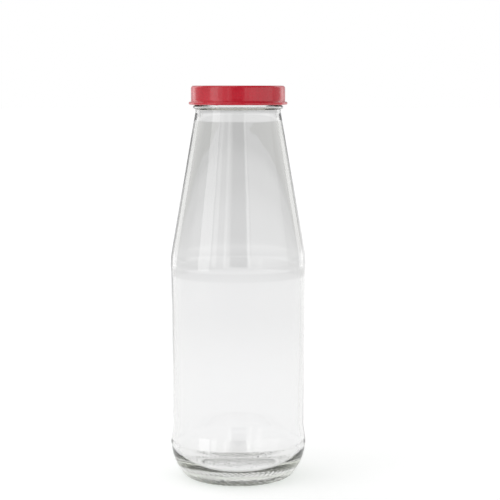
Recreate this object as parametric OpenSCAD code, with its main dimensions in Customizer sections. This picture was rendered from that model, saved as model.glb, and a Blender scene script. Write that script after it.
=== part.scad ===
// Wide-neck glass milk bottle with a lacquered twist-off (lug) cap and its sealing ring.
// Origin: centre of the base, on the surface the bottle stands on. +Z runs up the axis.
// Heights in the finish are "drops": distances below the top of the rim.

/* [Bottle] */
// Height of the bottle without its cap, from the standing surface to the rim
bottle_h = 205; // [170:1:250]
// Outer radius of the shoulder band
body_r = 35.45; // [29:0.05:43]
// Height of the corner between the shoulder band and the cone
shoulder_z = 116.6; // [90:0.1:135]
// Height of the shoulder band
band_h = 7.1; // [5:0.1:30]
// How far the label panel lies inside the shoulder band, at its top
panel_inset = 0.25; // [0.1:0.05:0.6]
// How far the label panel has drawn in at its foot
panel_waist = 0.95; // [0.7:0.05:1.5]
// Thickness of the side wall
wall = 2.6; // [2:0.1:3.6]

/* [Heel and base] */
// Height of the crest of the rounded heel ledge
heel_z = 18.7; // [17:0.1:22]
// How far the heel ledge stands proud of the shoulder band
heel_proud = 0.3; // [0:0.05:0.6]
// Height from the lower edge of the heel ledge to its crest
ledge_h = 4.1; // [3:0.1:5]
// How far the lower edge of the heel ledge lies inside its crest
ledge_in = 0.6; // [0.4:0.05:1]
// Height of the bend in the curve below the heel ledge
bend_z = 8.5; // [7.5:0.1:9.5]
// How far that bend lies inside the crest of the ledge
bend_in = 1.8; // [1.4:0.1:2.4]
// How far the heel's curve has drawn in where it reaches the standing surface
foot_in = 8.15; // [7:0.05:9]
// Width of the flat ring that the bottle stands on
bearing_w = 3.2; // [2:0.1:5]
// Thickness of the glass above the standing ring
base_t = 4.5; // [4:0.1:6]
// Height of the hollow under the base
punt_h = 2.8; // [2:0.1:3.4]
// Rise of the base inside the bottle, at its centre
dome_h = 1.5; // [1:0.1:3]
// Radius of the rounding inside the bottle, between wall and base
inner_heel_r = 14.5; // [8:0.5:14.5]

/* [Finish] */
// Outer radius of the plain rim above the threads
rim_r = 22.35; // [18.6:0.05:27]
// Thickness of the rim, between the mouth and the outside
rim_t = 2.75; // [2.5:0.05:3.3]
// Length of the straight mouth bore and its rounded lip
mouth_len = 17.5; // [15:0.5:21]
// Drop from the rim to the top of the cone
neck_drop = 13.3; // [13:0.1:17]
// Number of threads, and of cap lugs
thread_n = 4; // [3:1:4]
// Angle that each thread spans
thread_span = 74; // [68:1:80]
// Rise of the thread in one full turn
lead = 17.5; // [15:0.5:18]
// How far each thread stands out of the rim's cylinder
thread_depth = 1.45; // [1.2:0.05:1.75]
// Height of a thread at its root
thread_root_w = 3; // [2.8:0.1:3.1]
// Height of a thread at its crest
thread_crest_w = 1.1; // [0.9:0.1:1.2]
// Drop from the rim to the middle of each thread
thread_drop = 5.5; // [5.3:0.1:5.7]
// Angle of the middle of the first thread
thread_phase = 7; // [0:1:90]
// Drop from the rim to the middle of the transfer bead
bead_drop = 10.1; // [10.1:0.1:11]
// How far the transfer bead stands out of the rim's cylinder
bead_depth = 1.1; // [0.8:0.05:1.3]
// Height of the transfer bead at its root
bead_root_w = 2.3; // [2:0.1:2.4]
// Height of the transfer bead at its crest
bead_crest_w = 1; // [0.8:0.1:1.1]

/* [Cap] */
// Thickness of the tinplate
tin_t = 0.25; // [0.2:0.01:0.3]
// Radial gap between the thread crests and the rolled edge
curl_gap = 0.3; // [0.2:0.05:0.4]
// Radius of the rolled edge's round section
curl_r = 0.8; // [0.7:0.05:0.9]
// Drop from the rim to the bottom of the rolled edge
cap_drop = 8.85; // [8.6:0.05:8.9]
// How far the outside of the skirt lies inside the middle of the rolled edge
skirt_in = 0.45; // [0.35:0.05:0.55]
// Width of the raised ring around the centre panel
ring_w = 3.55; // [3.4:0.05:3.8]
// Depth of the centre panel below the raised ring
panel_depth = 0.5; // [0.4:0.05:0.6]
// Width of a lug along the rolled edge, as an angle
lug_span = 11; // [8:0.5:12]
// Thickness of a lug
lug_t = 0.7; // [0.5:0.05:0.75]
// How far a lug reaches under its thread
lug_reach = 0.9; // [0.6:0.05:1]
// Angle from the middle of a thread down to the lug that is seated under it
seat_angle = 28; // [26:0.5:29]
// Play between a seated lug and its thread
lug_play = 0.12; // [0.1:0.01:0.15]

/* [Sealing ring] */
// Thickness of the compound between the rim and the raised ring of the cap
seal_t = 0.8; // [0.75:0.05:1]
// Depth of the lip that hangs outside the rim
lip_h = 0.6; // [0.4:0.05:1]
// Gap between that lip and the rim
lip_gap = 0.4; // [0.3:0.05:0.6]
// Gap between the compound and the cap, at the skirt and at the panel's edge
seal_gap = 0.3; // [0.2:0.05:0.35]
// How far the compound stays back from the mouth
seal_back = 0.7; // [0.5:0.05:0.9]

/* [Hidden] */
$fn = 96;
fillet_steps = 6;        // straight pieces in each rounded corner
dome_steps = 10;         // straight pieces in each domed outline
root_sink = 0.4;         // how far a rib's flanks run on into the wall
far = 60;                // larger than any radius, for cutting blocks

// roundings of the bottle's outline, from the foot up and down again inside
foot_round = 7;
bend_round = 24;
ledge_low_round = 3;
ledge_round = 6;
flare_round = 30;
step_round = 20;
shoulder_round = 32;
inner_shoulder_round = 50;
neck_round = 4;
rim_round = 0.7;
lip_round = 1;
throat_round = 5;
rib_round = 0.35;
punt_round = 1.6;
dome_round = 6;

// lengths of the short slopes in that outline
flare_h = 9;             // from the crest of the heel ledge up to the foot of the panel
step_h = 4.4;            // from the top of the panel up to the shoulder band
inner_shoulder_drop = 0.2; // from the shoulder outside to the shoulder inside
inner_ledge_drop = 1.2;  // from the crest of the heel ledge up to where the inside swells for it
inner_heel_clear = 0.5;  // from the rounding inside the heel up to the rounding of that swell
dome_in = 3;             // from the edge of the hollow under the base to the dome inside

// radii and heights that follow from the driving sizes
mouth_r = rim_r - rim_t;
heel_r = body_r + heel_proud;
bend_r = heel_r - bend_in;
foot_r = heel_r - foot_in;
heel_slope = atan2(bend_z, bend_r - foot_r);
bearing_r = foot_r - foot_round * tan(heel_slope / 2);
punt_r = bearing_r - bearing_w;
band_z = shoulder_z - band_h;
inner_ledge_z = heel_z + inner_ledge_drop;
inner_heel_round = min(inner_heel_r, inner_ledge_z - inner_heel_clear - base_t);
neck_z = bottle_h - neck_drop;
mouth_z = bottle_h - mouth_len;

// threads: each is an arc in a plane tilted about its own middle, a close match to a helix
thread_r = rim_r + thread_depth;
thread_mid_r = rim_r + thread_depth / 2;
rise_per_deg = lead / 360;
thread_tilt = asin(rise_per_deg * thread_span / 2 / (thread_mid_r * sin(thread_span / 2)));

// cap, worked out from the finish that it screws on to
curl_mid_r = thread_r + curl_gap + curl_r;
curl_z = bottle_h - cap_drop + curl_r;
skirt_r = curl_mid_r - skirt_in;
skirt_in_r = skirt_r - tin_t;
ring_top_z = bottle_h + seal_t + tin_t;
panel_top_z = ring_top_z - panel_depth;
panel_r = skirt_r - ring_w;
ring_slope_w = 0.9;      // width of the slope from the panel up to the raised ring
ring_round = 0.8;
cap_round = 1.4;

// lugs, seated under the lower part of each thread at the thread's own slope
lug_in_r = thread_r - lug_reach;
thread_half_at_lug = thread_root_w / 2
    - (thread_root_w - thread_crest_w) / 2 * (lug_in_r - rim_r) / thread_depth;
lug_top_z = bottle_h - thread_drop - seat_angle * rise_per_deg - thread_half_at_lug - lug_play;
lug_tilt = atan(rise_per_deg * 180 / PI / lug_in_r);
lug_round = 0.25;

// sealing ring, worked out from the rim below it and the cap above it
seal_in_r = mouth_r + seal_back;
seal_out_r = skirt_in_r - seal_gap;
seal_step_r = panel_r + tin_t + seal_gap;
lip_in_r = rim_r + lip_gap;
seal_round = 0.2;

// ---- outlines ----

// Points of the arc that rounds corner b between the straight lines to a and c
function corner(a, b, c, r) =
    let (u = (a - b) / norm(a - b),
         v = (c - b) / norm(c - b),
         half = acos(max(-1, min(1, u * v))) / 2,
         mid = b + (u + v) / norm(u + v) * r / sin(half),
         p = b + u * r / tan(half) - mid,
         q = b + v * r / tan(half) - mid,
         turn = atan2(p.x * q.y - p.y * q.x, p * q))
    [for (i = [0 : fillet_steps])
        let (t = turn * i / fillet_steps)
        mid + [p.x * cos(t) - p.y * sin(t), p.x * sin(t) + p.y * cos(t)]];

// Closed outline through corners [r, z, rounding]; a rounding of 0 keeps the corner sharp
function rounded(k) =
    [for (i = [0 : len(k) - 1])
        let (n = len(k),
             a = k[(i + n - 1) % n],
             b = k[i],
             c = k[(i + 1) % n])
        for (p = b.z == 0 ? [[b.x, b.y]]
                 : corner([a.x, a.y], [b.x, b.y], [c.x, c.y], b.z)) p];

// Points of a shallow dome from the axis out to radius r, rising h above height z; its edge is
// rounded by edge_round
function dome(r, z, h, edge_round) =
    let (ball = (r * r + h * h) / (2 * h),
         open = asin(r / ball))
    [for (i = [0 : dome_steps])
        let (t = open * i / dome_steps)
        [ball * sin(t), z + h - ball + ball * cos(t), i == dome_steps ? edge_round : 0]];

function reversed(k) = [for (i = [len(k) - 1 : -1 : 0]) k[i]];

// ---- bottle ----

// Section of the plain bottle, from the hollow under the base round to the inside of the base
module bottle_section() {
    polygon(rounded(concat(
        dome(punt_r, 0, punt_h, punt_round),
        [
            [foot_r, 0, foot_round],
            [bend_r, bend_z, bend_round],
            [heel_r - ledge_in, heel_z - ledge_h, ledge_low_round],
            [heel_r, heel_z, ledge_round],
            [body_r - panel_waist, heel_z + flare_h, flare_round],
            [body_r - panel_inset, band_z - step_h / 2, step_round],
            [body_r, band_z + step_h / 2, step_round],
            [body_r, shoulder_z, shoulder_round],
            [rim_r, neck_z, neck_round],
            [rim_r, bottle_h, rim_round],
            [mouth_r, bottle_h, lip_round],
            [mouth_r, mouth_z, throat_round],
            [body_r - wall, shoulder_z - inner_shoulder_drop, inner_shoulder_round],
            [body_r - panel_waist - wall, heel_z + flare_h, flare_round],
            [heel_r - wall, inner_ledge_z, ledge_round],
            [heel_r - wall, base_t, inner_heel_round]
        ],
        reversed(dome(punt_r - dome_in, base_t, dome_h, dome_round)))));
}

// Section of a rib on the rim's cylinder, root_w high where it leaves the wall and crest_w high
// at its crest; its flanks run on into the wall
module rib_section(root_w, crest_w, depth) {
    flank = (root_w - crest_w) / 2 / depth;
    sunk_half = root_w / 2 + flank * root_sink;
    polygon(rounded([
        [rim_r - root_sink, -sunk_half, 0],
        [rim_r + depth, -crest_w / 2, rib_round],
        [rim_r + depth, crest_w / 2, rib_round],
        [rim_r - root_sink, sunk_half, 0]
    ]));
}

// One thread, its middle on the +X side, with ends that slope down to the rim
module thread() {
    difference() {
        rotate([thread_tilt, 0, 0])
            rotate([0, 0, -thread_span / 2])
                rotate_extrude(angle = thread_span)
                    rib_section(thread_root_w, thread_crest_w, thread_depth);
        for (side = [-1, 1])
            rotate([0, 0, side * thread_span / 2])
                translate([rim_r - root_sink, 0, 0])
                    rotate([0, 0, side * 45])
                        translate([0, side > 0 ? 0 : -far, -far / 2])
                            cube([far, far, far]);
    }
}

// The bead below the threads, by which the glassworks handles the hot bottle
module transfer_bead() {
    translate([0, 0, bottle_h - bead_drop])
        rotate_extrude()
            rib_section(bead_root_w, bead_crest_w, bead_depth);
}

module bottle() {
    color([0.86, 0.9, 0.9, 0.4])
        union() {
            rotate_extrude() bottle_section();
            transfer_bead();
            for (i = [0 : thread_n - 1])
                rotate([0, 0, thread_phase + i * 360 / thread_n])
                    translate([0, 0, bottle_h - thread_drop])
                        thread();
        }
}

// ---- cap ----

// Section of the drawn tinplate: centre panel, raised ring and skirt
module cap_section() {
    polygon(rounded([
        [0, panel_top_z - tin_t, 0],
        [panel_r + tin_t, panel_top_z - tin_t, ring_round],
        [panel_r + tin_t + ring_slope_w, ring_top_z - tin_t, ring_round - tin_t],
        [skirt_in_r, ring_top_z - tin_t, cap_round - tin_t],
        [skirt_in_r, curl_z, 0],
        [skirt_r, curl_z, 0],
        [skirt_r, ring_top_z, cap_round],
        [panel_r + ring_slope_w, ring_top_z, ring_round],
        [panel_r, panel_top_z, ring_round - tin_t],
        [0, panel_top_z, 0]
    ]));
}

// One lug, pressed inwards out of the rolled edge, its middle on the +X side
module lug() {
    rotate([lug_tilt, 0, 0])
        rotate([0, 0, -lug_span / 2])
            rotate_extrude(angle = lug_span)
                polygon(rounded([
                    [lug_in_r, -lug_t, lug_round],
                    [curl_mid_r, -lug_t, 0],
                    [curl_mid_r, 0, 0],
                    [lug_in_r, 0, lug_round]
                ]));
}

module cap_shell() {
    color([0.73, 0.15, 0.2])
        union() {
            rotate_extrude() cap_section();
            rotate_extrude()
                translate([curl_mid_r, curl_z])
                    circle(r = curl_r);
            for (i = [0 : thread_n - 1])
                rotate([0, 0, thread_phase - seat_angle + i * 360 / thread_n])
                    translate([0, 0, lug_top_z])
                        lug();
        }
}

// ---- sealing ring ----

// The compound in the channel of the cap: flat on the rim, with a lip outside it
module sealing_ring() {
    color([0.82, 0.82, 0.8])
        rotate_extrude()
            polygon(rounded([
                [seal_in_r, bottle_h, 0],
                [lip_in_r, bottle_h, 0],
                [lip_in_r, bottle_h - lip_h, seal_round],
                [seal_out_r, bottle_h - lip_h, seal_round],
                [seal_out_r, bottle_h + seal_t, cap_round - tin_t],
                [seal_step_r + ring_slope_w, bottle_h + seal_t, seal_round],
                [seal_step_r, panel_top_z - tin_t, seal_round / 2],
                [seal_in_r, panel_top_z - tin_t, 0]
            ]));
}

bottle();
sealing_ring();
cap_shell();
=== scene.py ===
"""Looks of the wide-neck glass milk bottle with its red twist-off cap.

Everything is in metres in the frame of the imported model: the bottle stands on z = 0 and its axis
is Z. Outlines are written in millimetres as (radius, height) and turned by Geometry Nodes.
"""
from math import acos, atan, atan2, cos, hypot, pi, radians, sin, tan

import bpy
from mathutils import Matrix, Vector


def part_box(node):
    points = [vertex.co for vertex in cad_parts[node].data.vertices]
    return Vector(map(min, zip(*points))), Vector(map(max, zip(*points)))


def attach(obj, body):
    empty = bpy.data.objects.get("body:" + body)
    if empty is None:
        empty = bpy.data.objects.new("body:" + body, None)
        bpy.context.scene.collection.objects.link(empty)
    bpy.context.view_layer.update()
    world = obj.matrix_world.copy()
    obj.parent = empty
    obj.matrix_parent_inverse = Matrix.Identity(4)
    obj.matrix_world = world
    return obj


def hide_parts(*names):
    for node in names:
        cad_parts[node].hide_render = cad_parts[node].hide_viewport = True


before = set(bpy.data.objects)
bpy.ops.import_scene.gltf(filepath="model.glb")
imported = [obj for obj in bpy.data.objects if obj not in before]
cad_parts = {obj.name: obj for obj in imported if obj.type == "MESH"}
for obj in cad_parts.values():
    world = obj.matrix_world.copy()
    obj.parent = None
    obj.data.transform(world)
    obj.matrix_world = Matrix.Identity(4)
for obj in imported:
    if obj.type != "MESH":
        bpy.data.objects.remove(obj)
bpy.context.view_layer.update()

MM = 0.001

# ---- sizes taken from the frame, in mm ----

bottle_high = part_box("bottle")[1]
cap_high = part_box("cap_shell")[1]
seal_low, seal_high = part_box("sealing_ring")
RIM_Z = bottle_high.z / MM
HEEL_OUT_R = bottle_high.x / MM         # over the rounded heel ledge, the widest place
CAP_TOP_Z = cap_high.z / MM
CURL_OUT_R = cap_high.x / MM            # over the cap's rolled edge
SEAL_TOP_Z = seal_high.z / MM
SEAL_LOW_Z = seal_low.z / MM
SEAL_OUT_R = seal_high.x / MM

# ---- sizes of the glass, in mm ----

BODY_R = HEEL_OUT_R - 0.24              # shoulder band
HEEL_R = BODY_R + 0.3
SHOULDER_Z = 116.6
BAND_Z = SHOULDER_Z - 7.1
PANEL_IN = 0.25                         # label panel inside the band, at its top
PANEL_WAIST = 0.95                      # and at its foot
WALL = 2.6
HEEL_Z = 18.7
FOOT_R = HEEL_R - 8.15
BEARING_R = 24.0                        # outside of the ring it stands on
PUNT_R = BEARING_R - 3.2
PUNT_H = 2.8
BASE_T = 4.5
DOME_H = 1.5
RIM_R = 22.35
MOUTH_R = RIM_R - 2.75
NECK_Z = RIM_Z - 13.3
MOUTH_Z = RIM_Z - 17.5
THREAD_N = 4
THREAD_SPAN = radians(74)
THREAD_PHASE = radians(7)
LEAD = 17.5                             # rise of a thread in one turn
THREAD_DEPTH = 1.4
THREAD_DROP = 5.5
THREAD_ROOT_W = 3.0
THREAD_CREST_W = 1.0
THREAD_END = radians(5)                 # over which a thread runs out
BEAD_DROP = 10.1
BEAD_DEPTH = 1.08
UNEVEN_FROM_Z, UNEVEN_FULL_Z = 12, 30   # inner wall: even up to the first, uneven past the second
UNEVEN_EASE = 12                        # length below the mouth over which it evens out again
UNEVEN_PER_M = (48, 48, 7)              # lumps a metre, so the waves run long up the wall
STIPPLE_R = 26.8                        # middle of the ring of pressed marks
STIPPLE_IN = (24.4, 25.0)               # from nothing to full depth, going outward
STIPPLE_OUT = (28.5, 30.0)              # and back to nothing
STIPPLE_TOP_Z = 4.8
STIPPLE_BOW = 0.6                       # how fast a mark curves, in radians a square mm

# ---- sizes of the cap and the compound, in mm ----

TIN = 0.25
CURL_R = 0.8
CURL_MID_R = CURL_OUT_R - CURL_R
CURL_Z = RIM_Z - 8.85 + CURL_R
SKIRT_R = CURL_MID_R - 0.45
PANEL_R = SKIRT_R - 3.55
PANEL_Z = CAP_TOP_Z - 0.5
SLOPE_W = 0.9                           # from the panel up to the raised ring
SEAT_ANGLE = radians(28)
LUG_SPAN = radians(10.5)
LUG_T = 0.66
LUG_IN_R = 22.95
LUG_MID_Z = RIM_Z - 8.4
SEAL_IN_R = MOUTH_R + 0.7
LIP_IN_R = RIM_R + 0.4

AROUND = 288                            # segments of the glass, round the axis
CAP_AROUND = 256
CAP_STEP = 1.6                          # longest step of the cap's outline, in mm
CARRIER = 0.001                         # radius of the ring that outlines are laid round, in m


def linear(hex_colour):
    """A colour written as for a screen, in the linear light that shaders take."""
    parts = [int(hex_colour[i:i + 2], 16) / 255 for i in (1, 3, 5)]
    return [c / 12.92 if c <= 0.04045 else ((c + 0.055) / 1.055) ** 2.4 for c in parts] + [1.0]


# ---- outlines ----

def corner_arc(before, at, after, radius, steps):
    """Points of the arc that rounds the corner at between two straight lines."""
    a, b, c = Vector(before), Vector(at), Vector(after)
    u, v = (a - b).normalized(), (c - b).normalized()
    half = acos(max(-1.0, min(1.0, u.dot(v)))) / 2
    middle = b + (u + v).normalized() * radius / sin(half)
    p, q = b + u * radius / tan(half) - middle, b + v * radius / tan(half) - middle
    turn = atan2(p.x * q.y - p.y * q.x, p.dot(q))
    return [(middle.x + p.x * cos(turn * i / steps) - p.y * sin(turn * i / steps),
             middle.y + p.x * sin(turn * i / steps) + p.y * cos(turn * i / steps))
            for i in range(steps + 1)]


def rounded(corners, steps=8):
    """An open outline through (r, z, rounding); its two ends stay sharp."""
    points = [corners[0][:2]]
    for before, at, after in zip(corners, corners[1:], corners[2:]):
        if at[2]:
            points += corner_arc(before[:2], at[:2], after[:2], at[2], steps)
        else:
            points.append(at[:2])
    return points + [corners[-1][:2]]


def dome(radius, z, rise, steps=12):
    """A shallow dome, from the axis out to radius."""
    ball = (radius * radius + rise * rise) / (2 * rise)
    opening = atan2(radius, ball - rise)
    return [(ball * sin(opening * i / steps), z + rise - ball + ball * cos(opening * i / steps), 0)
            for i in range(steps + 1)]


def spaced(points, longest):
    """The same outline with no step longer than longest(r, z) allows there."""
    out = [points[0]]
    for (r0, z0), (r1, z1) in zip(points, points[1:]):
        steps = max(1, round(hypot(r1 - r0, z1 - z0) / longest((r0 + r1) / 2, (z0 + z1) / 2)))
        out += [(r0 + (r1 - r0) * i / steps, z0 + (z1 - z0) * i / steps)
                for i in range(1, steps + 1)]
    return out


def outline_object(name, chains, closed=False):
    """Chains of points as one object of edges. Points of the first chain are marked inner."""
    points = [p for chain in chains for p in chain]
    edges = [(i, i + 1) for i in range(len(points) - 1)]
    if closed:
        edges.append((len(points) - 1, 0))
    mesh = bpy.data.meshes.new(name)
    mesh.from_pydata([(r * MM, z * MM, 0) for r, z in points], edges, [])
    inner = mesh.attributes.new("inner", "FLOAT", "POINT")
    inner.data.foreach_set("value", [1.0] * len(chains[0]) + [0.0] * (len(points) - len(chains[0])))
    piece = bpy.data.objects.new(name, mesh)
    bpy.context.scene.collection.objects.link(piece)
    return piece


# ---- node helpers ----

def node(tree, kind, inputs=None, **settings):
    """Adds a node; inputs gives its sockets, by name or number, a value or another's output."""
    made = tree.nodes.new(kind)
    for name, value in settings.items():
        setattr(made, name, value)
    for key, value in (inputs or {}).items():
        if isinstance(value, bpy.types.NodeSocket):
            tree.links.new(value, made.inputs[key])
        else:
            made.inputs[key].default_value = value
    return made


def maths(tree, operation, *values):
    return node(tree, "ShaderNodeMath", dict(enumerate(values)), operation=operation).outputs[0]


def eased(tree, value, start, end, low=0.0, high=1.0):
    """value carried smoothly from start..end to low..high, and held at the ends."""
    sockets = {"Value": value, "From Min": start, "From Max": end, "To Min": low, "To Max": high}
    return node(tree, "ShaderNodeMapRange", sockets, interpolation_type="SMOOTHSTEP").outputs[0]


def mixed(tree, factor, low, high):
    """A number between low and high."""
    sockets = {"Factor": factor, 2: low, 3: high}
    return node(tree, "ShaderNodeMix", sockets, data_type="FLOAT").outputs[0]


def tinted(tree, factor, one, other):
    """A colour between two that are written as for a screen."""
    sockets = {"Factor": factor, 6: linear(one), 7: linear(other)}
    return node(tree, "ShaderNodeMix", sockets, data_type="RGBA").outputs[2]


def turning_tree(name, around, **sizes):
    """A tree that turns an outline once round the axis.

    Returns the tree, its named sizes and the turned mesh. The outline lies in the XY plane with
    its heights along Y. Curve to Mesh lays it round a ring of radius CARRIER.
    """
    tree = bpy.data.node_groups.new(name, "GeometryNodeTree")
    for way in ("INPUT", "OUTPUT"):
        tree.interface.new_socket("Geometry", in_out=way, socket_type="NodeSocketGeometry")
    for label, value in dict(sizes, around=around).items():
        kind = "NodeSocketInt" if isinstance(value, int) else "NodeSocketFloat"
        tree.interface.new_socket(label, in_out="INPUT", socket_type=kind).default_value = value
    given = node(tree, "NodeGroupInput").outputs
    outline = node(tree, "GeometryNodeTransform", {
        "Geometry": node(tree, "GeometryNodeMeshToCurve", {"Mesh": given["Geometry"]}).outputs[0],
        "Translation": (-CARRIER, 0, 0), "Scale": (1, -1, 1)}).outputs[0]
    ring = node(tree, "GeometryNodeCurvePrimitiveCircle",
                {"Resolution": given["around"], "Radius": CARRIER}).outputs[0]
    wall = node(tree, "GeometryNodeCurveToMesh", {"Curve": ring, "Profile Curve": outline})
    merged = node(tree, "GeometryNodeMergeByDistance",
                  {"Geometry": wall.outputs[0], "Distance": 1e-6}).outputs[0]
    return tree, given, merged



def place(tree):
    """Fields of a turned mesh: its radius, angle and height, and the outward direction."""
    x, y, z = node(tree, "ShaderNodeSeparateXYZ",
                   {0: node(tree, "GeometryNodeInputPosition").outputs[0]}).outputs
    flat = node(tree, "ShaderNodeCombineXYZ", {"X": x, "Y": y}).outputs[0]
    outward = node(tree, "ShaderNodeVectorMath", {0: flat}, operation="NORMALIZE").outputs[0]
    length = node(tree, "ShaderNodeVectorMath", {0: flat}, operation="LENGTH").outputs["Value"]
    return length, maths(tree, "ARCTAN2", y, x), z, outward


def inner_mark(tree):
    return node(tree, "GeometryNodeInputNamedAttribute", {"Name": "inner"},
                data_type="FLOAT").outputs[0]


def pushed(tree, mesh, direction, amount):
    """The mesh with every point moved along direction by amount."""
    offset = node(tree, "ShaderNodeVectorMath", {0: direction, "Scale": amount},
                  operation="SCALE").outputs[0]
    return node(tree, "GeometryNodeSetPosition", {"Geometry": mesh, "Offset": offset}).outputs[0]


def finished(piece, name, tree, mesh, *materials):
    """Ends the tree, and turns the outline object into the plain mesh that it makes.

    The first material goes on everything, a second one on the faces that are marked inner.
    """
    smooth = node(tree, "GeometryNodeSetShadeSmooth", {"Geometry": mesh}).outputs[0]
    mesh = node(tree, "GeometryNodeRealizeInstances", {"Geometry": smooth}).outputs[0]
    mesh = node(tree, "GeometryNodeSetMaterial",
                {"Geometry": mesh, "Material": materials[0]}).outputs[0]
    if len(materials) > 1:
        inside = node(tree, "FunctionNodeCompare", {"A": inner_mark(tree), "B": 0.99},
                      data_type="FLOAT", operation="GREATER_THAN").outputs[0]
        mesh = node(tree, "GeometryNodeSetMaterial",
                    {"Geometry": mesh, "Selection": inside, "Material": materials[1]}).outputs[0]
    node(tree, "NodeGroupOutput", {"Geometry": mesh})
    modifier = piece.modifiers.new("turning", "NODES")
    modifier.node_group = tree
    for socket in tree.interface.items_tree:
        if socket.in_out == "INPUT" and socket.socket_type != "NodeSocketGeometry":
            modifier[socket.identifier] = socket.default_value
    graph = bpy.context.evaluated_depsgraph_get()
    solid = bpy.data.meshes.new_from_object(piece.evaluated_get(graph))
    piece.modifiers.remove(modifier)
    piece.data = solid
    solid.name = piece.name = name
    return piece


# ---- materials ----

def material(name):
    made = bpy.data.materials.new(name)
    made.use_nodes = True
    made.node_tree.nodes.clear()
    return made, made.node_tree


def surface_output(tree, surface, volume=None):
    sockets = {"Surface": surface}
    if volume:
        sockets["Volume"] = volume
    node(tree, "ShaderNodeOutputMaterial", sockets)


def object_point(tree, stretch=(1, 1, 1)):
    """Object coordinates, scaled by stretch."""
    point = node(tree, "ShaderNodeTexCoord").outputs["Object"]
    return node(tree, "ShaderNodeMapping", {"Vector": point, "Scale": stretch}).outputs[0]


def grain(tree, vector, size_mm, detail=2.0):
    """Noise whose lumps are about size_mm across."""
    return node(tree, "ShaderNodeTexNoise",
                {"Vector": vector, "Scale": 1 / (size_mm * MM), "Detail": detail}).outputs[0]


def bumps(tree, height, depth_mm, strength=1.0):
    return node(tree, "ShaderNodeBump",
                {"Height": height, "Distance": depth_mm * MM, "Strength": strength}).outputs[0]


def clear_glass():
    """Flint soda-lime glass, blown in a mould and fire polished: clear and glossy, with long soft
    ripples down the wall, and a trace of green that only its thick places show."""
    made, tree = material("soda_lime_flint_glass")
    point = object_point(tree)
    height = node(tree, "ShaderNodeSeparateXYZ", {0: point}).outputs["Z"]
    foot = eased(tree, height, 3.5 * MM, 8 * MM, 1.0, 0.0)
    ripple = bumps(tree, grain(tree, object_point(tree, (1, 1, 0.12)), 9), 0.06)
    worn = node(tree, "ShaderNodeBump", {
        "Height": grain(tree, point, 2.0, 2.0), "Distance": 0.45 * MM, "Strength": foot,
        "Normal": ripple}).outputs[0]
    glass = node(tree, "ShaderNodeBsdfPrincipled", {
        "Base Color": linear("#FFFFFF"), "Roughness": 0.0, "IOR": 1.52,
        "Transmission Weight": 1.0, "Normal": worn})
    lamp_way = node(tree, "ShaderNodeBsdfTransparent", {"Color": linear("#EDEFEE")})
    path = node(tree, "ShaderNodeLightPath").outputs
    share = maths(tree, "MAXIMUM", path["Is Shadow Ray"], path["Is Diffuse Ray"])
    both = node(tree, "ShaderNodeMixShader",
                {0: share, 1: glass.outputs[0], 2: lamp_way.outputs[0]}).outputs[0]
    depth = node(tree, "ShaderNodeVolumeAbsorption",
                 {"Color": linear("#E4E8C4"), "Density": 11.0}).outputs[0]
    surface_output(tree, both, depth)
    return made


def red_lacquer():
    """Stoved red lacquer over tinplate: an even, deep gloss with a faint orange peel."""
    made, tree = material("stoved_red_lacquer")
    point = object_point(tree)
    cloud = eased(tree, grain(tree, point, 14), 0.3, 0.7)
    shade = tinted(tree, cloud, "#C01A2C", "#C92033")
    peel = bumps(tree, grain(tree, point, 1.6, 1.0), 0.0015)
    gloss = eased(tree, grain(tree, point, 3.5, 4.0), 0.35, 0.75, 0.24, 0.34)
    surface_output(tree, node(tree, "ShaderNodeBsdfPrincipled", {
        "Base Color": shade, "Roughness": gloss, "Specular IOR Level": 0.3,
        "Coat Weight": 0.35, "Coat Roughness": 0.04,
        "Coat Normal": peel, "Normal": peel}).outputs[0])
    return made


def inside_lacquer():
    """The pale food-safe enamel on the inside of the tinplate: satin, slightly warm."""
    made, tree = material("white_inside_enamel")
    point = object_point(tree)
    shade = tinted(tree, grain(tree, point, 6), "#E4E0D6", "#EDEAE2")
    surface_output(tree, node(tree, "ShaderNodeBsdfPrincipled", {
        "Base Color": shade, "Roughness": 0.32,
        "Normal": bumps(tree, grain(tree, point, 0.9), 0.004)}).outputs[0])
    return made


def compound():
    """Plastisol flowed into the channel and stoved: soft, matt and faintly dimpled."""
    made, tree = material("plastisol_compound")
    point = object_point(tree)
    shade = tinted(tree, grain(tree, point, 2.5), "#C9C8C2", "#D8D7D1")
    surface_output(tree, node(tree, "ShaderNodeBsdfPrincipled", {
        "Base Color": shade, "Roughness": 0.6, "IOR": 1.54,
        "Normal": bumps(tree, grain(tree, point, 0.6), 0.02)}).outputs[0])
    return made


# ---- glass ----

def glass_step(r, z):
    """Longest step of the glass's outline: short on the threads, long on plain walls."""
    if r > RIM_R - 0.5 and z > NECK_Z + 1:
        return 0.24
    if z < 7 and r > BEARING_R:
        return 0.8
    return 4.5 if r > BODY_R - 2 else 3.6


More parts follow.
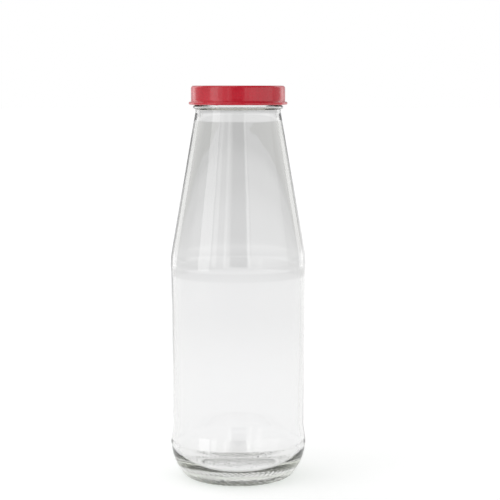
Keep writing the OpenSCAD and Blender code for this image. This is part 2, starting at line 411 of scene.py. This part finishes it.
def make_bottle():
    inner = rounded(dome(PUNT_R - 3, BASE_T, DOME_H) + [
        (HEEL_R - WALL, BASE_T, 14.5),
        (HEEL_R - WALL, HEEL_Z + 1.2, 6),
        (BODY_R - PANEL_WAIST - WALL, HEEL_Z + 9, 30),
        (BODY_R - WALL, SHOULDER_Z - 0.2, 50),
        (MOUTH_R, MOUTH_Z, 5),
        (MOUTH_R, RIM_Z - 2, 0)])
    outer = rounded([
        (MOUTH_R, RIM_Z - 1.6, 0),
        (MOUTH_R, RIM_Z, 1),
        (RIM_R, RIM_Z, 0.7),
        (RIM_R, RIM_Z - BEAD_DROP + 1.15, 0.2),
        (RIM_R + BEAD_DEPTH, RIM_Z - BEAD_DROP + 0.5, 0.35),
        (RIM_R + BEAD_DEPTH, RIM_Z - BEAD_DROP - 0.5, 0.35),
        (RIM_R, RIM_Z - BEAD_DROP - 1.15, 0.2),
        (RIM_R, NECK_Z, 4),
        (BODY_R, SHOULDER_Z, 32),
        (BODY_R, BAND_Z + 2.2, 20),
        (BODY_R - PANEL_IN, BAND_Z - 2.2, 20),
        (BODY_R - PANEL_WAIST, HEEL_Z + 9, 30),
        (HEEL_R, HEEL_Z, 6),
        (HEEL_R - 0.6, HEEL_Z - 4.1, 3),
        (HEEL_R - 1.8, 8.5, 24),
        (FOOT_R, 0, 7),
        (PUNT_R, 0, 1.6)] + list(reversed(dome(PUNT_R, 0, PUNT_H)))[1:])
    piece = outline_object("glass_outline", [spaced(inner, glass_step), spaced(outer, glass_step)])

    tree, size, mesh = turning_tree(
        "turned_glass", AROUND,
        threads=THREAD_N, thread_span=THREAD_SPAN, thread_phase=THREAD_PHASE,
        rise=LEAD * MM / (2 * pi), thread_z=(RIM_Z - THREAD_DROP) * MM,
        thread_depth=THREAD_DEPTH * MM, crest_w=THREAD_CREST_W * MM, root_w=THREAD_ROOT_W * MM,
        unevenness=0.45 * MM, stipple_depth=0.9 * MM, stipple_marks=56)
    radius, angle, height, outward = place(tree)

    # threads: the distance from each thread's rising middle line gives its rounded section
    pitch = maths(tree, "DIVIDE", pi, size["threads"])
    along = maths(tree, "WRAP", maths(tree, "SUBTRACT", angle, size["thread_phase"]), pitch,
                  maths(tree, "MULTIPLY", pitch, -1.0))
    middle = maths(tree, "MULTIPLY_ADD", along, size["rise"], size["thread_z"])
    off = maths(tree, "ABSOLUTE", maths(tree, "SUBTRACT", height, middle))
    section = eased(tree, off, maths(tree, "DIVIDE", size["crest_w"], 2.0),
                    maths(tree, "DIVIDE", size["root_w"], 2.0), 1.0, 0.0)
    half_span = maths(tree, "DIVIDE", size["thread_span"], 2.0)
    end = eased(tree, maths(tree, "ABSOLUTE", along),
                maths(tree, "SUBTRACT", half_span, THREAD_END), half_span, 1.0, 0.0)
    outside = maths(tree, "GREATER_THAN", radius, (RIM_R - 0.5) * MM)
    thread = maths(tree, "MULTIPLY", maths(tree, "MULTIPLY", section, end), outside)
    mesh = pushed(tree, mesh, outward, maths(tree, "MULTIPLY", thread, size["thread_depth"]))

    # the inside of blown glass isn't quite round: long soft waves, none near mouth or base
    point = node(tree, "GeometryNodeInputPosition").outputs[0]
    spread = node(tree, "ShaderNodeVectorMath", {0: point, 1: UNEVEN_PER_M},
                  operation="MULTIPLY").outputs[0]
    waves = node(tree, "ShaderNodeTexNoise", {"Vector": spread, "Scale": 1.0, "Detail": 1.5})
    held = maths(tree, "MULTIPLY",
                 eased(tree, height, MOUTH_Z * MM, (MOUTH_Z - UNEVEN_EASE) * MM),
                 eased(tree, height, UNEVEN_FROM_Z * MM, UNEVEN_FULL_Z * MM))
    wave = maths(tree, "MULTIPLY", maths(tree, "SUBTRACT", waves.outputs[0], 0.5),
                 maths(tree, "MULTIPLY", held, inner_mark(tree)))
    mesh = pushed(tree, mesh, outward, maths(tree, "MULTIPLY", wave, size["unevenness"]))

    # stippling: a ring of small pressed crescents on the foot, just outside the bearing ring
    aside = maths(tree, "SUBTRACT", radius, STIPPLE_R * MM)
    bowed = maths(tree, "MULTIPLY", maths(tree, "POWER", aside, 2.0), STIPPLE_BOW / MM ** 2)
    beat = maths(tree, "COSINE", maths(tree, "MULTIPLY_ADD", angle, size["stipple_marks"], bowed))
    ring = maths(tree, "MULTIPLY",
                 eased(tree, radius, STIPPLE_IN[0] * MM, STIPPLE_IN[1] * MM),
                 eased(tree, radius, STIPPLE_OUT[0] * MM, STIPPLE_OUT[1] * MM, 1.0, 0.0))
    low = maths(tree, "MULTIPLY", ring, maths(tree, "LESS_THAN", height, STIPPLE_TOP_Z * MM))
    press = maths(tree, "MULTIPLY", eased(tree, beat, -0.1, 0.6), low)
    up = node(tree, "ShaderNodeCombineXYZ", {"Z": 1.0}).outputs[0]
    mesh = pushed(tree, mesh, up, maths(tree, "MULTIPLY", press, size["stipple_depth"]))
    return finished(piece, "milk_bottle_glass", tree, mesh, clear_glass())


# ---- cap ----

def make_cap():
    skirt_in = SKIRT_R - TIN
    outside = rounded([
        (0, PANEL_Z, 0),
        (PANEL_R, PANEL_Z, 0.55),
        (PANEL_R + SLOPE_W, CAP_TOP_Z, 0.8),
        (SKIRT_R, CAP_TOP_Z, 1.4),
        (SKIRT_R, CURL_Z + CURL_R * 0.9, 0)], 7)
    inside = rounded([
        (skirt_in, CURL_Z + CURL_R * 0.2, 0),
        (skirt_in, CAP_TOP_Z - TIN, 1.15),
        (PANEL_R + TIN + SLOPE_W, CAP_TOP_Z - TIN, 0.55),
        (PANEL_R + TIN, PANEL_Z - TIN, 0.8),
        (0, PANEL_Z - TIN, 0)], 7)
    roll = [(CURL_MID_R + CURL_R * cos(a), CURL_Z + CURL_R * sin(a))
            for a in [radians(120 - 300 * i / 24) for i in range(25)]]
    outer_chain = spaced(outside, lambda r, z: CAP_STEP) + roll
    inner_chain = spaced(inside, lambda r, z: CAP_STEP)
    piece = outline_object("cap_outline", [inner_chain[::-1], outer_chain[::-1]])

    tree, size, mesh = turning_tree(
        "turned_cap", CAP_AROUND,
        lugs=THREAD_N, lug_span=LUG_SPAN, lug_reach=(CURL_MID_R - LUG_IN_R) * MM,
        lug_thickness=LUG_T * MM, lug_z=LUG_MID_Z * MM,
        lug_tilt=atan(LEAD / (2 * pi * LUG_IN_R)), first_lug=THREAD_PHASE - SEAT_ANGLE)
    mesh = node(tree, "GeometryNodeFlipFaces", {"Mesh": mesh}).outputs[0]

    # a lug: a rounded bar bent along the rolled edge, tilted like the thread it grips
    bar = node(tree, "GeometryNodeCurvePrimitiveQuadrilateral",
               {"Width": size["lug_reach"], "Height": size["lug_thickness"]}).outputs[0]
    bar = node(tree, "GeometryNodeFilletCurve",
               {"Curve": bar, "Radius": 0.22 * MM, "Count": 4}, mode="POLY").outputs[0]
    arc = node(tree, "GeometryNodeCurveArc", {
        "Resolution": 14, "Radius": (CURL_MID_R + LUG_IN_R) / 2 * MM,
        "Start Angle": maths(tree, "MULTIPLY", size["lug_span"], -0.5),
        "Sweep Angle": size["lug_span"]}).outputs[0]
    lug = node(tree, "GeometryNodeCurveToMesh",
               {"Curve": arc, "Profile Curve": bar, "Fill Caps": True}).outputs[0]
    lug = node(tree, "GeometryNodeTransform", {
        "Geometry": lug,
        "Translation": node(tree, "ShaderNodeCombineXYZ", {"Z": size["lug_z"]}).outputs[0],
        "Rotation": node(tree, "ShaderNodeCombineXYZ", {"X": size["lug_tilt"]}).outputs[0],
    }).outputs[0]
    share = maths(tree, "DIVIDE", 2 * pi, size["lugs"])
    turn = maths(tree, "MULTIPLY_ADD", node(tree, "GeometryNodeInputIndex").outputs[0], share,
                 size["first_lug"])
    lugs = node(tree, "GeometryNodeInstanceOnPoints", {
        "Points": node(tree, "GeometryNodePoints", {"Count": size["lugs"]}).outputs[0],
        "Instance": lug,
        "Rotation": node(tree, "ShaderNodeCombineXYZ", {"Z": turn}).outputs[0]}).outputs[0]
    both = node(tree, "GeometryNodeJoinGeometry")
    tree.links.new(mesh, both.inputs[0])
    tree.links.new(lugs, both.inputs[0])
    return finished(piece, "twist_off_cap", tree, both.outputs[0], red_lacquer(),
                    inside_lacquer())


def make_seal():
    step_r = PANEL_R + TIN + 0.35
    ring = rounded([
        (SEAL_IN_R, (PANEL_Z - TIN + RIM_Z) / 2, 0),
        (SEAL_IN_R, PANEL_Z - TIN, 0.1),
        (step_r, PANEL_Z - TIN, 0.1),
        (step_r + SLOPE_W, SEAL_TOP_Z, 0.2),
        (SEAL_OUT_R, SEAL_TOP_Z, 1.15),
        (SEAL_OUT_R, SEAL_LOW_Z, 0.28),
        (LIP_IN_R, SEAL_LOW_Z, 0.28),
        (LIP_IN_R, RIM_Z, 0.12),
        (SEAL_IN_R, RIM_Z, 0.1),
        (SEAL_IN_R, (PANEL_Z - TIN + RIM_Z) / 2 - 0.01, 0)], 6)
    piece = outline_object("seal_outline", [[], ring], closed=True)
    tree, _, mesh = turning_tree("turned_seal", CAP_AROUND)
    return finished(piece, "sealing_compound", tree, mesh, compound())


bottle = make_bottle()
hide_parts("bottle")
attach(bottle, "glass")

cap = make_cap()
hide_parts("cap_shell")
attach(cap, "cap")

seal = make_seal()
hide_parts("sealing_ring")
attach(seal, "seal")


# ---- studio ----

FLOOR_LIFT = 0.6                        # how far the camera sees the sweep above its lit level
CONTACT_SHADOW_R = 22.5                       # ring that the bottle stands on, in mm, where a painted contact shadow darkens the sweep seen through glass
FLOOR_TONE = 0.93                       # of the sweep seen through glass, close to the bottle, where the painted pool of light is brightest
# painted pool of light on the sweep that glass sees: (from, to, level), in m, dimmer with distance
PAINTED_LIGHT_POOL = ((0.2, 0.6, 0.92), (0.6, 1.6, 0.84), (1.6, 3.5, 0.90), (3.5, 9.0, 0.85))
ROOM = 0.5                              # what lights matt things
BEHIND, BESIDE = 0.47, 0.68             # what glass shows behind it and beside it
ABOVE = 0.3                             # share of that left high up
BACK_WALL = 0.7                         # what gloss shows at a glancing angle
CEILING = 0.12                          # what gloss shows above
GAP = (radians(13), radians(17))        # bearings over which the dark gap in front turns bright
GAP_LEVEL = 0.05
STRIP_LIGHTS = ((-42, 6, 0.8), (-23, 3, 0.8), (19, 3, 0.9))     # bearing, half width, level
THROUGH_WALLS = 0.8                     # share of the front walls that glass lets through

LENS, SENSOR = 109.4, 36.0
CAMERA_SIDE, CAMERA_AWAY = 6.2, 793     # right of the axis and in front of it, in mm
LOOK_DOWN = 6.1                         # degrees below level


def floor_brightness(tree, away):
    """How bright the sweep looks through glass, painted as emission: a painted pool of light round
    the bottle that falls off with distance, and a painted contact shadow, darker in a thin ring
    where the bottle stands on it."""
    tone = FLOOR_TONE
    for start, end, level in PAINTED_LIGHT_POOL:
        tone = maths(tree, "MULTIPLY", tone, eased(tree, away, start, end, 1.0, level))
    # painted contact shadow: the sweep seen through glass is darker in a thin ring where the bottle
    # stands
    off = maths(tree, "ABSOLUTE", maths(tree, "SUBTRACT", away, CONTACT_SHADOW_R * MM))
    return maths(tree, "MULTIPLY", tone, eased(tree, off, 1 * MM, 4 * MM, 0.95, 1.0))


def studio_floor():
    """Matt white sweep. The camera sees it white except where the bottle shades it."""
    made, tree = material("white_sweep")
    point = node(tree, "ShaderNodeTexCoord").outputs["Object"]
    away = node(tree, "ShaderNodeVectorMath", {0: point}, operation="LENGTH").outputs["Value"]
    path = node(tree, "ShaderNodeLightPath").outputs
    matt = node(tree, "ShaderNodeBsdfDiffuse", {"Color": linear("#F4F4F4")}).outputs[0]
    lift = node(tree, "ShaderNodeEmission", {
        "Color": (1, 1, 1, 1), "Strength": maths(tree, "MULTIPLY", maths(
            tree, "MAXIMUM", path["Is Camera Ray"], path["Is Glossy Ray"]),
            eased(tree, away, 0.2, 1.1, FLOOR_LIFT / 2, FLOOR_LIFT))}).outputs[0]
    seen = node(tree, "ShaderNodeAddShader", {0: matt, 1: lift}).outputs[0]
    # glass sees the sweep as emission, which carries the painted pool of light and the painted
    # contact shadow
    through = node(tree, "ShaderNodeEmission", {
        "Color": linear("#FDFDFF"), "Strength": floor_brightness(tree, away)}).outputs[0]
    surface_output(tree, node(tree, "ShaderNodeMixShader", {
        0: path["Is Transmission Ray"], 1: seen, 2: through}).outputs[0])
    return made


def make_floor():
    mesh = bpy.data.meshes.new("sweep")
    half = 14.0
    mesh.from_pydata([(-half, -half, 0), (half, -half, 0), (half, half, 0), (-half, half, 0)], [],
                     [(0, 1, 2, 3)])
    floor = bpy.data.objects.new("sweep", mesh)
    bpy.context.scene.collection.objects.link(floor)
    mesh.materials.append(studio_floor())


def make_world():
    """White to the camera. Glass sees a grey room behind it that is brighter at its sides, and
    gloss reflects bright side walls with a dark gap and a few thin lights in front."""
    world = bpy.data.worlds.new("studio")
    bpy.context.scene.world = world
    world.use_nodes = True
    tree = world.node_tree
    tree.nodes.clear()
    path = node(tree, "ShaderNodeLightPath").outputs
    x, y, z = node(tree, "ShaderNodeSeparateXYZ",
                   {0: node(tree, "ShaderNodeTexCoord").outputs["Generated"]}).outputs
    sideways = maths(tree, "ABSOLUTE", x)
    through = maths(tree, "MULTIPLY", eased(tree, sideways, 0.1, 0.75, BEHIND, BESIDE),
                    eased(tree, z, 0.3, 0.6, 1.0, ABOVE))

    bearing = maths(tree, "ARCTAN2", x, maths(tree, "MULTIPLY", y, -1.0))
    walls = eased(tree, maths(tree, "ABSOLUTE", bearing), *GAP, GAP_LEVEL, 1.0)
    for middle, half, extra in STRIP_LIGHTS:
        off = maths(tree, "ABSOLUTE", maths(tree, "SUBTRACT", bearing, radians(middle)))
        walls = maths(tree, "ADD", walls, eased(tree, off, radians(half * 0.5), radians(half),
                                                extra, 0.0))
    behind = eased(tree, y, -0.1, 0.1)

    through = mixed(tree, behind, maths(tree, "MULTIPLY", walls, THROUGH_WALLS), through)
    mirrored = mixed(tree, eased(tree, z, 0.45, 0.75),
                     mixed(tree, behind, walls, BACK_WALL), CEILING)

    level = ROOM
    for ray, seen in (("Is Glossy Ray", mirrored), ("Is Transmission Ray", through),
                      ("Is Camera Ray", 1.0)):
        level = mixed(tree, path[ray], level, seen)
    node(tree, "ShaderNodeOutputWorld", {"Surface": node(
        tree, "ShaderNodeBackground", {"Color": (1, 1, 1, 1), "Strength": level}).outputs[0]})


def softbox(name, place_at, aim, wide, tall, watts):
    light = bpy.data.lights.new(name, "AREA")
    light.shape = "RECTANGLE"
    light.size, light.size_y, light.energy = wide, tall, watts
    lamp = bpy.data.objects.new(name, light)
    lamp.location = place_at
    lamp.rotation_euler = (Vector(aim) - Vector(place_at)).to_track_quat("-Z", "Y").to_euler()
    lamp.visible_camera = False
    lamp.visible_transmission = False
    bpy.context.scene.collection.objects.link(lamp)


def make_lights():
    middle = (0, 0, RIM_Z * MM / 2)
    softbox("left_box", (-0.75, -0.45, 0.35), middle, 0.35, 0.9, 2.0)
    softbox("right_box", (0.75, -0.45, 0.35), middle, 1.2, 0.9, 2.0)
    softbox("back_left_box", (-0.6, 0.6, 0.4), middle, 0.3, 0.9, 1.0)
    softbox("back_right_box", (0.6, 0.6, 0.4), middle, 0.3, 0.9, 1.0)
    softbox("top_box", (-0.37, -0.05, 0.95), (-0.37, -0.05, 0), 0.7, 0.8, 2.2)


def make_camera():
    """Level with the rim and looking down a little, so that the rim reads as a straight line."""
    data = bpy.data.cameras.new("camera")
    data.lens, data.sensor_width = LENS, SENSOR
    camera = bpy.data.objects.new("camera", data)
    bpy.context.scene.collection.objects.link(camera)
    camera.location = (CAMERA_SIDE * MM, -CAMERA_AWAY * MM, RIM_Z * MM)
    camera.rotation_euler = (radians(90 - LOOK_DOWN), 0, 0)
    bpy.context.scene.camera = camera


make_floor()
make_world()
make_lights()
make_camera()
bpy.context.scene.view_settings.view_transform = "Standard"
